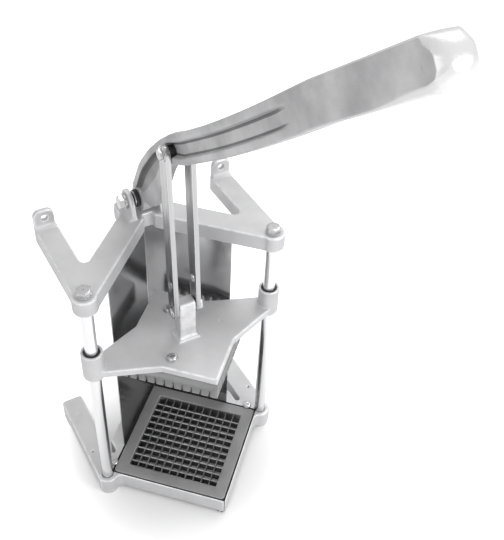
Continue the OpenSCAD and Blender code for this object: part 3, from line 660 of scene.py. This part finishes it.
blades = {
    "pitch": 0.009525,
    "count": 10,
    "halfLength": 0.05434,
    "thick": 0.0008,
    "edge": 0.00008,  # half width of the ground edge
    "notchBevel": 0.00001,  # what is left of the bevel where a notch is open at the top
    "fit": 0.00005,
    "lap": (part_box("long_blades")[0].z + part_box("cross_blades")[1].z) / 2,  # where the two sets meet
    "groundFacing": 0.05,  # faces that look up by more than this are ground, and painted bright as a highlight
    "crease": 15,
}
bladeSets = {
    # node: turn, whether it is notched from below, height of the ground bevel, how bright the bevel is painted as
    # a highlight
    "long_blades": (45, True, 0.0007, 0.14),
    "cross_blades": (135, False, 0.0016, 1.0),
}
bladePlaces = (np.arange(blades["count"]) - (blades["count"] - 1) / 2) * blades["pitch"]


# A blade: its outline across, with a ground edge on top, is carried along; its notches let the other set pass
def bladeMesh(name, place, bottom, top, fromBelow, bevel):
    gap = blades["thick"] / 2 + blades["fit"]
    stops = np.sort(np.concatenate([bladePlaces - gap, bladePlaces + gap]))
    along = np.concatenate([[-blades["halfLength"]], np.repeat(stops, 2), [blades["halfLength"]]])
    notched = (np.arange(len(along)) + 2) // 2 % 2 == 0
    openTop = notched & (not fromBelow)
    low = np.where(notched & fromBelow, blades["lap"] + blades["fit"], bottom)
    high = np.where(openTop, blades["lap"] - blades["fit"], top)
    shoulder = high - np.where(openTop, blades["notchBevel"], bevel)
    side = np.full(len(along), blades["thick"] / 2)
    edge = np.where(openTop, side, blades["edge"])
    across = np.stack([-side, -side, -edge, edge, side, side], -1) + place
    height = np.stack([low, shoulder, high, high, shoulder, low], -1)
    grid = np.stack([np.broadcast_to(along[:, None], across.shape), across, height], -1)
    return closeMesh(surface(name, grid, wrapV=True), blades["crease"], endRings(grid))


def bladeSet(node, turn, fromBelow, bevel, shine):
    bottom, top = [corner.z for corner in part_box(node)]
    mesh = joinMeshes(node, [bladeMesh(node + str(row), place, bottom, top, fromBelow, bevel)
                             for row, place in enumerate(bladePlaces)])
    mesh.transform(Matrix.Translation((0, columnY, 0)) @ Matrix.Rotation(math.radians(turn), 4, "Z"))
    # The ground faces that look up are painted bright, a highlight for the light they catch
    facing = np.zeros(len(mesh.polygons) * 3)
    mesh.polygons.foreach_get("normal", facing)
    setAttribute(mesh, "wearAndSheen", "FACE", (facing[2::3] > blades["groundFacing"]) * shine)
    return addPiece(node + "Ground", mesh, node)


for node, look in bladeSets.items():
    bladeSet(node, *look)
print("blades ground")


def anglesRound(steps):
    return np.linspace(0, 2 * np.pi, steps, endpoint=False)[:, None]


# A surface round an axis through a centre: one row of radii and of places along the axis for each angle
def aroundAxis(name, radius, along, centre, axis):
    side = axis.orthogonal().normalized()
    axes = np.array([side, axis.cross(side), axis])
    angle = anglesRound(len(radius))
    local = np.stack([radius * np.cos(angle), radius * np.sin(angle), along + 0 * angle], -1)
    return surface(name, local @ axes + np.array(centre), wrapU=True, wrapV=True)


# Points of a turned profile, (radius, along), carried round an axis
def turned(name, profile, centre, axis, steps=96):
    radius, along = [np.tile(profile[:, part], (steps, 1)) for part in (0, 1)]
    return aroundAxis(name, radius, along, centre, axis)


# Rectangle between two radii and two heights, with its corners rounded by an arc
def ringProfile(inner, outer, low, high, corner, steps=4):
    arc = np.linspace(0, np.pi / 2, steps)
    corners = [(outer - corner, high - corner, 0), (inner + corner, high - corner, 1),
               (inner + corner, low + corner, 2), (outer - corner, low + corner, 3)]
    return np.concatenate([np.stack([x + corner * np.cos(arc + quarter * np.pi / 2),
                                     y + corner * np.sin(arc + quarter * np.pi / 2)], -1)
                           for x, y, quarter in corners])


# A node's separate solids, and how far each reaches along an axis and from it. Every point is given the
# least number among its neighbours until none changes, so that each solid ends with one number
def islands(node, axis):
    work = joinedTriangles(node)
    mesh = bpy.data.meshes.new(node + "Joined")
    work.to_mesh(mesh)
    work.free()
    points, edges, _ = meshArrays(mesh)
    bpy.data.meshes.remove(mesh)
    number, before = np.arange(len(points)), None
    while not np.array_equal(number, before):
        before = number.copy()
        np.minimum.at(number, edges.ravel(), np.repeat(before[edges].min(1), 2))
    found = []
    for first in np.unique(number):
        solid = points[number == first]
        centre = (solid.min(0) + solid.max(0)) / 2
        along = solid @ np.array(axis)
        radius = np.linalg.norm(solid - centre - np.outer((solid - centre) @ np.array(axis), axis), axis=1)
        found.append({"centre": centre, "low": along.min(), "high": along.max(),
                      "outer": radius.max(), "inner": radius.min()})
    return found


# Washers, spacers, bushings and columns are turned from their solids' own radii and ends
turnedParts = {
    "left_column": (upright, 0.0008),
    "right_column": (upright, 0.0008),
    "column_top_washers": (upright, 0.0003),
    "pusher_washers": (upright, 0.0002),
    "left_bushing": (upright, 0.0005),
    "right_bushing": (upright, 0.0005),
    "hub_bushing": (sideways, 0.0003),
    "pivot_washers": (sideways, 0.0003),
    "pivot_spacers": (sideways, 0.0003),
    "link_spacers": (sideways, 0.0002),
    "upper_link_washers": (sideways, 0.0001),
    "lower_link_washers": (sideways, 0.0001),
}
columnCore = 0.0004  # the columns' profile starts at this radius, and a hole of it runs through them


def turnPart(node, axis, corner):
    meshes = []
    for number, solid in enumerate(islands(node, axis)):
        inner = columnCore if node in ("left_column", "right_column") else solid["inner"]
        centre = Vector(solid["centre"]) - axis * Vector(solid["centre"]).dot(axis)
        profile = ringProfile(inner, solid["outer"], solid["low"], solid["high"], corner)
        meshes.append(closeMesh(turned(node + str(number), profile, centre, axis)))
    return addPiece(node + "Turned", joinMeshes(node, meshes), node)


for node, (axis, corner) in turnedParts.items():
    turnPart(node, axis, corner)
print("turned parts ready:", len(turnedParts))

# Lever: the neck's rings and the handle's rings, as shares of the arm's length and of the handle's
lever = {
    "outer": [[0.022, 0.1], [0.058, 0.094], [0.088, 0.098], [0.112, 0.103], [0.161, 0.111], [0.226, 0.124],
              [0.299, 0.138], [0.380, 0.149], [0.460, 0.153], [0.548, 0.153], [0.635, 0.152], [0.715, 0.1475],
              [0.788, 0.140], [0.861, 0.132], [0.934, 0.1205], [1.007, 0.105], [1.088, 0.0876]],
    "inner": [[0.036, -0.096], [0.116, -0.066], [0.124, -0.077], [0.134, -0.095], [0.161, -0.124],
              [0.212, -0.146], [0.277, -0.155], [0.358, -0.155], [0.438, -0.1445], [0.518, -0.1255],
              [0.599, -0.101], [0.672, -0.076], [0.737, -0.058], [0.803, -0.051], [0.869, -0.0555],
              [0.942, -0.0715], [1.022, -0.099]],
    "ribWidth": [0, 0, 0, 0, 0, 0, 0, 0.03, 0.08, 0.2, 0.4, 0.62, 0.82, 0.95, 1, 1, 1],
    "ribHeight": [0.4, 0.42, 0.46, 0.48, 0.48, 0.47, 0.46, 0.45, 0.42, 0.39, 0.35, 0.31, 0.28, 0.26, 0.26,
                  0.26, 0.26],
    "handleLength": 0.359,
    "handleTurn": 13.8,  # degrees between the arm's line and the handle's
    "handleDepth": 0.0284,
    "gripWidth": 0.0256,
    "flangeWidth": 0.0178,
    "web": 0.006,
    "hubThick": 0.010,
    "hubShare": 0.96,  # the neck's first rings are this much of the hub's thickness
    "hubRings": 2,
    "hubRadius": 0.0143,
    "hubCore": 0.0005,  # the bore is cut later and is wider
    "hubCorner": 0.0008,
    "flangeShare": 0.27,
    "innerLess": 0.03,  # how much less the inner flange takes of the depth
    "bowShare": 0.01,  # how far the handle bows, in handle lengths, and where the bow ends
    "bowEnd": 0.72,
    "solidShare": 0.98,  # how thick the web is in the solid grip, in grip widths
    "filledShare": 0.35,  # how far the web has grown towards that in the channel
    # where a change starts along the handle, and over what share of it
    "handleStart": (0.06, 0.94),
    "widens": (0.12, 0.3),
    "squares": (0.06, 0.3),
    "rounds": (0.86, 0.14),
    "fills": (0.15, 0.1),
    "channelCloses": (0.565, 0.08),
    "handleRings": 24,
    "neckCorner": 0.38,  # rounding of the flanges' corners, in half widths
    "gripCorner": 0.16,
    "tipCorner": 0.42,
    "tipLength": 0.0155,
    "tipAngle": 88,  # degrees of the dome that its last ring reaches
    "tipPower": 0.9,  # less than 1 is blunter than a round dome: in height, and in width
    "tipBlunt": 0.75,
    "tipSwell": 1.3,  # the dome is this much wider than the handle, whose flat sides cut it
    "tipLeast": 0.0001,  # least share, squared, of the dome's width
    "tipRings": 18,
    "fineRings": 4,
    "webColumn": 28,  # a column of the grid that lies on the web
    "grooves": [
        # column of the flange, columns of its corner, how dark the painted shade is, up to which row
        (16, (22, 26), 0.75, None),
        (44, (31, 34), 0.75, None),
        (44, (83, 86), 0.75, None),
        (16, (91, 95), 0.75, None),
        (16, (18, 27), 0.72, 56),
        (16, (90, 99), 0.72, 56),
        (16, (27, 31), 0.30, 56),
        (16, (86, 90), 0.30, 56),
    ],
    "grooveStart": 0.001,
    "grooveWidth": 0.003,
    "toolReach": 0.02,  # how far the tools that cut holes and seats reach to either side
    "toolCorner": 0.0001,
    "seatShare": 1.1,  # a seat's radius, in the spacer's
    "crease": 30,
}
# Proportions of the I section
section = {
    "cornerMost": 0.2,  # the most that a corner takes of the depth
    "stepWidth": 0.1,  # rounding of the flanges' inner edges, in widths and in depths
    "stepDepth": 0.03,
    "crown": 0.4,  # how far the outer faces fall towards their corners, in steps
    "bendAcross": 0.3,  # the middle of a corner, in corners from the side and from the face
    "bendDown": 0.35,
    "fillet": 3,  # height of the fillet at the web, in steps
}
pivot = np.array(jointOf["lever_hinge"]["pos_m"][1:])
pin = np.array(middle("link_spacers"))[1:]
armLength = np.linalg.norm(pin - pivot)
armLine = (pin - pivot) / armLength
armSide = np.array([armLine[1], -armLine[0]])
turnAngle = math.radians(lever["handleTurn"])
handleLine = armLine * math.cos(turnAngle) - armSide * math.sin(turnAngle)
handleSide = armSide * math.cos(turnAngle) + armLine * math.sin(turnAngle)


# Rises from 0 to 1 and is level at both ends: three times the square less twice the cube
def eased(t):
    held = np.clip(t, 0, 1)
    return held * held * (3 - 2 * held)


# How far a change named in the settings has come, at a share of the handle's length
def changed(share, change):
    start, span = lever[change]
    return eased((share - start) / span)


# Half outline of each ring, (X, height): an I section whose web, flanges and widths change along the lever
def halfSections(depth, outWidth, inWidth, web, outFlange, inFlange, corner, inCorner):
    narrow = np.minimum(outWidth, inWidth)
    cut, inCut = [np.minimum(narrow * part, depth * section["cornerMost"]) for part in (corner, inCorner)]
    step = np.minimum(narrow * section["stepWidth"], depth * section["stepDepth"])
    outStep, inStep = [np.minimum(step, (width - web) / 2) for width in (outWidth, inWidth)]
    crown, fillet = step * section["crown"], section["fillet"] * step
    across, down = section["bendAcross"], section["bendDown"]
    zero = 0 * depth
    pairs = [(zero, depth), (outWidth - cut, depth - crown), (outWidth - cut * across, depth - cut * down),
             (outWidth, depth - cut), (outWidth, depth - outFlange + step),
             (outWidth - outStep, depth - outFlange), (web + outStep, depth - outFlange - step),
             (web, depth - outFlange - fillet),
             (web, inFlange + fillet), (web + inStep, inFlange + step), (inWidth - inStep, inFlange),
             (inWidth, inFlange - step), (inWidth, inCut), (inWidth - inCut * across, inCut * down),
             (inWidth - inCut, crown), (zero, zero)]
    return np.stack([np.stack(pair, -1) for pair in pairs], 1)


# Rings in space: the half outline and its mirror, stood between each ring's inner and outer point
def rings(inner, outer, outWidth, inWidth, web, outFlange, inFlange, corner, inCorner):
    across = outer - inner
    depth = np.linalg.norm(across, axis=1)
    up = across / depth[:, None]
    half = halfSections(depth, outWidth, inWidth, web, outFlange, inFlange, corner, inCorner)
    mirrored = half[:, -2:0:-1] * np.array([-1, 1])
    whole = np.concatenate([half, mirrored], 1)
    flat = inner[:, None] + up[:, None] * whole[..., 1:2]
    return np.concatenate([whole[..., :1], flat], -1)


# Neck: each ring stands between an outer and an inner point, placed along the line from the pivot to the
# link's pin and beside it
def neckRings():
    shares = [np.array(lever[key])[:, :, None] for key in ("outer", "inner")]
    outer, inner = [pivot + (armLine * pair[:, 0] + armSide * pair[:, 1]) * armLength for pair in shares]
    hub, flange = lever["hubThick"] / 2 * lever["hubShare"], lever["flangeWidth"] / 2
    depth = np.linalg.norm(outer - inner, axis=1)
    count = len(depth)
    outWidth = np.where(np.arange(count) < lever["hubRings"], hub, flange)
    inWidth = hub + (flange - hub) * np.array(lever["ribWidth"])
    return rings(inner, outer, outWidth, inWidth, np.full(count, lever["web"] / 2),
                 np.minimum(depth, lever["handleDepth"]) * lever["flangeShare"],
                 depth * np.array(lever["ribHeight"]), lever["neckCorner"], lever["neckCorner"])


# Handle: rings at shares of a line from the pin, which bows by a half wave, each of them shrunk and moved
# ahead as asked. Width, corners and web change along the way
def handleRings(share, shrink, ahead):
    bow = lever["bowShare"] * np.sin(np.pi * np.minimum(1, share / lever["bowEnd"]))
    centre = pin + (handleLine * share[:, None] - handleSide * bow[:, None]) * lever["handleLength"]
    centre = centre + handleLine * ahead[:, None]
    half = lever["handleDepth"] / 2 * shrink
    narrow, wide = lever["flangeWidth"], lever["gripWidth"]
    width = (narrow + (wide - narrow) * changed(share, "widens")) / 2
    corner = lever["neckCorner"] + (lever["gripCorner"] - lever["neckCorner"]) * changed(share, "squares")
    inCorner = corner + (lever["tipCorner"] - lever["gripCorner"]) * changed(share, "rounds")
    thin, deep = lever["web"] / 2, width * lever["solidShare"]
    grown = thin + (deep - thin) * changed(share, "fills") * lever["filledShare"]
    web = grown + (deep - grown) * changed(share, "channelCloses")
    return rings(centre - handleSide * half[:, None], centre + handleSide * half[:, None], width, width,
                 np.minimum(web, deep), 2 * half * lever["flangeShare"],
                 2 * half * (lever["flangeShare"] - lever["innerLess"]), corner, inCorner)


# A smooth curve through every ring's points: cubic pieces whose slopes are half the neighbours' gaps
def throughRings(grid, steps):
    before = np.concatenate([grid[:1], grid[:-1]])
    slope = np.concatenate([grid[1:], grid[-1:]]) - before
    slope = slope / 2
    t = np.linspace(0, 1, steps, endpoint=False)[None, :, None, None]
    start, end = grid[:-1, None], grid[1:, None]
    startSlope, endSlope = slope[:-1, None], slope[1:, None]
    body = ((2 * t**3 - 3 * t**2 + 1) * start + (t**3 - 2 * t**2 + t) * startSlope
            + (3 * t**2 - 2 * t**3) * end + (t**3 - t**2) * endSlope)
    return np.concatenate([body.reshape(-1, *grid.shape[1:]), grid[-1:]])


# Rounds every ring by cutting each corner at a quarter and three quarters of its sides
def cutCorners(grid):
    following = np.roll(grid, -1, axis=1)
    pairs = np.stack([grid * 0.75 + following * 0.25, grid * 0.25 + following * 0.75], 2)
    return pairs.reshape(grid.shape[0], -1, 3)


def trim(mesh, other, operation="DIFFERENCE"):
    piece, tool = placed("work", mesh), placed("tool", other)
    cut = piece.modifiers.new("cut", "BOOLEAN")
    cut.operation, cut.object, cut.solver = operation, tool, "EXACT"
    result = baked(piece)
    bpy.data.objects.remove(tool)
    return result


# A disc or ring along X at a point of the lever's own plane, to add to the lever or to cut from it
def discAt(place, inner, outer, low, high, corner):
    profile = ringProfile(inner, outer, low, high, corner)
    return closeMesh(turned("disc", profile, Vector((0, *place)), sideways))


# The handle's end: rings that shrink as a dome does, their width held under a wider and blunter dome
def tipRings():
    angle = np.radians(lever["tipAngle"] * np.arange(1, lever["tipRings"] + 1) / lever["tipRings"])
    shrink, ahead = np.cos(angle) ** lever["tipPower"], np.sin(angle)
    tip = handleRings(np.ones(len(angle)), shrink, lever["tipLength"] * ahead)
    centre = (tip[..., 1:].max(1) + tip[..., 1:].min(1)) / 2
    height = (tip[..., 1:] - centre[:, None]) @ handleSide / (lever["handleDepth"] / 2 * shrink[:, None])
    widest = lever["gripWidth"] / 2 * lever["tipSwell"] * np.cos(angle)[:, None] ** lever["tipBlunt"]
    widest = widest * np.clip(1 - height**2, lever["tipLeast"], 1) ** (0.5 * ahead[:, None])
    tip[..., 0] = np.clip(tip[..., 0], -widest, widest)
    return tip


# How dark each face is painted with shade, which falls in a corner where the flange stands out far over the web
def grooveDirt(grid):
    darkness = np.zeros((len(grid) - 1, grid.shape[1]))
    for flange, (first, last), dark, end in lever["grooves"]:
        standing = np.abs(grid[:-1, flange, 0]) - np.abs(grid[:-1, lever["webColumn"], 0])
        shade = np.clip((standing - lever["grooveStart"]) / lever["grooveWidth"], 0, 1) * dark
        darkness[:end, first:last] = shade[:end, None]
    return darkness.ravel()


def makeLever():
    count, (start, span) = lever["handleRings"], lever["handleStart"]
    share = start + span * np.arange(count + 1) / count
    handle = handleRings(share, np.ones(count + 1), np.zeros(count + 1))
    control = np.concatenate([neckRings(), handle, tipRings()])
    grid = cutCorners(cutCorners(throughRings(control, lever["fineRings"])))
    body = surface("leverBody", grid, wrapV=True)
    setAttribute(body, "groove", "FACE", grooveDirt(grid))
    half, reach, corner = lever["hubThick"] / 2, lever["toolReach"], lever["toolCorner"]
    hub = discAt(pivot, lever["hubCore"], lever["hubRadius"], -half, half, lever["hubCorner"])
    whole = trim(closeMesh(body, caps=endRings(grid)), hub, "UNION")
    bushing, spacer = [islands(node, sideways)[0] for node in ("hub_bushing", "link_spacers")]
    whole = trim(whole, discAt(pivot, 0, bushing["outer"], -reach, reach, corner))
    for side in (-1, 1):
        low, high = sorted((side * lever["web"] / 2, side * reach))
        whole = trim(whole, discAt(pin, 0, spacer["outer"] * lever["seatShare"], low, high, corner))
    whole = trim(whole, discAt(pin, 0, spacer["inner"], -reach, reach, corner))
    work = bmesh.new()
    work.from_mesh(whole)
    bmesh.ops.remove_doubles(work, verts=work.verts, dist=tolerance["sliver"])
    bmesh.ops.holes_fill(work, edges=[edge for edge in work.edges if edge.is_boundary])
    bmesh.ops.recalc_face_normals(work, faces=work.faces)
    work.to_mesh(whole)
    work.free()
    shadeSmooth(whole)
    whole.set_sharp_from_angle(angle=math.radians(lever["crease"]))
    return addPiece("leverCasting", whole, "lever")


makeLever()
print("lever ready")

fasteners = {
    # chamfer of a hex head: share of its height, and the radius there in halves of its width
    "chamfer": [(0, 1.12), (0.02, 1.17), (0.5, 1.17), (0.80, 1.17), (0.84, 1.15), (0.88, 1.12), (0.92, 1.07),
                (0.96, 1.01), (1, 0.93), (1, 0.6)],
    "hexSteps": 144,
    "hexCrease": 24,
    "domeFall": 0.55,  # share of a domed head's height by which its rim is lower
    "domePower": 2.4,
    "domePoints": 12,
    "domeSteps": 64,
    "domeCrease": 30,
    "pitch": 0.00125,
    "threadDepth": 0.0004,
    "threadPoints": 6,  # points along the axis in one pitch
    "threadLeast": 4,
    "threadSteps": 40,
    "threadCrease": 50,
    "core": 0.0005,  # heads and shanks start at this radius, and a hole of it runs through them
    "shankCorner": 0.00005,
}


# Hex head: the radius is the lesser of the hexagon's at that angle and the chamfer cone's at that height
def hexHead(name, centre, axis, width, low, high, bore=fasteners["core"]):
    angle = anglesRound(fasteners["hexSteps"])
    sector = (angle + np.pi / 6) % (np.pi / 3) - np.pi / 6
    height, cone = np.array(fasteners["chamfer"]).T
    radius = np.minimum(width / 2 / np.cos(sector), width / 2 * cone)
    inside = np.full(angle.shape, bore)
    radius = np.concatenate([inside, radius, inside], 1)
    along = low + np.concatenate([[0], height, [1]]) * (high - low)
    return closeMesh(aroundAxis(name, radius, along, centre, axis), fasteners["hexCrease"])


# Domed head: the height falls as a power of the distance from the axis, down to a short straight rim
def domedHead(name, centre, axis, width, low, high):
    core, radius = fasteners["core"], width / 2
    across = np.linspace(core, radius, fasteners["domePoints"])
    top = low + (high - low) * (1 - fasteners["domeFall"] * (across / radius) ** fasteners["domePower"])
    profile = np.concatenate([np.stack([across, top], 1), [[radius, low], [core, low]]])
    return closeMesh(turned(name, profile, centre, axis, fasteners["domeSteps"]), fasteners["domeCrease"])


# Thread: the shank's radius rises and falls once a pitch, and its phase turns with the angle
def threadedShank(name, centre, axis, radius, low, high):
    pitch, depth = fasteners["pitch"], fasteners["threadDepth"]
    angle = anglesRound(fasteners["threadSteps"])
    count = max(fasteners["threadLeast"], int(round((high - low) / pitch * fasteners["threadPoints"])))
    along = np.linspace(low, high, count)[None, :]
    phase = (along / pitch - angle / (2 * np.pi)) % 1
    fade = np.clip(np.minimum(along - low, high - along) / pitch, 0, 1)
    wave = radius - depth + depth * (1 - np.abs(2 * phase - 1)) * fade
    inside = np.full(angle.shape, fasteners["core"])
    wave = np.concatenate([inside, wave, inside], 1)
    along = np.concatenate([along[:, :1], along, along[:, -1:]], 1)
    return closeMesh(aroundAxis(name, wave, along, centre, axis), fasteners["threadCrease"])


# Bolts are made again from their solids' ends: head, plain shank and thread
bolts = {
    # node: axis from shank to head, kind of head, its width, its height, shank radius, length of thread
    "column_top_bolts": (upright, "hex", 0.013, 0.0053, 0.004, 0.012),
    "column_bottom_bolts": (-upright, "hex", 0.013, 0.0053, 0.004, 0.010),
    "pivot_bolt": (-sideways, "hex", 0.013, 0.0053, 0.004, 0.009),
    "lower_link_bolt": (-sideways, "dome", 0.012, 0.0027, 0.00405, 0.005),
    "upper_link_screws": (sideways, "hex", 0.0093, 0.0027, 0.00405, 0.002),
    "pivot_nut": (sideways, "nut", 0.013, 0.0053, 0.00402, 0),
    "lower_link_nut": (sideways, "nut", 0.0111, 0.0027, 0.00407, 0),
}


def makeBolts(node, axis, kind, width, tall, shank, thread):
    meshes = []
    for number, solid in enumerate(islands(node, axis)):
        centre, outward = Vector(solid["centre"]), axis
        if node == "upper_link_screws" and centre.x < 0:  # the left one points the other way
            outward = -axis
            solid["low"], solid["high"] = -solid["high"], -solid["low"]
        centre = centre - outward * centre.dot(outward)
        low, high = solid["low"], solid["high"]
        name = node + str(number)
        if kind == "nut":
            meshes.append(hexHead(name, centre, outward, width, low, high, bore=shank))
            continue
        makeHead = hexHead if kind == "hex" else domedHead
        meshes.append(makeHead(name, centre, outward, width, high - tall, high))
        plain = ringProfile(fasteners["core"], shank, low + thread, high - tall, fasteners["shankCorner"])
        meshes.append(closeMesh(turned(name + "Shank", plain, centre, outward)))
        meshes.append(threadedShank(name + "Thread", centre, outward, shank, low, low + thread))
    return addPiece(node + "Made", joinMeshes(node, meshes), node)


for node, look in bolts.items():
    makeBolts(node, *look)
print("bolts ready:", len(bolts))

print("scene assembled")
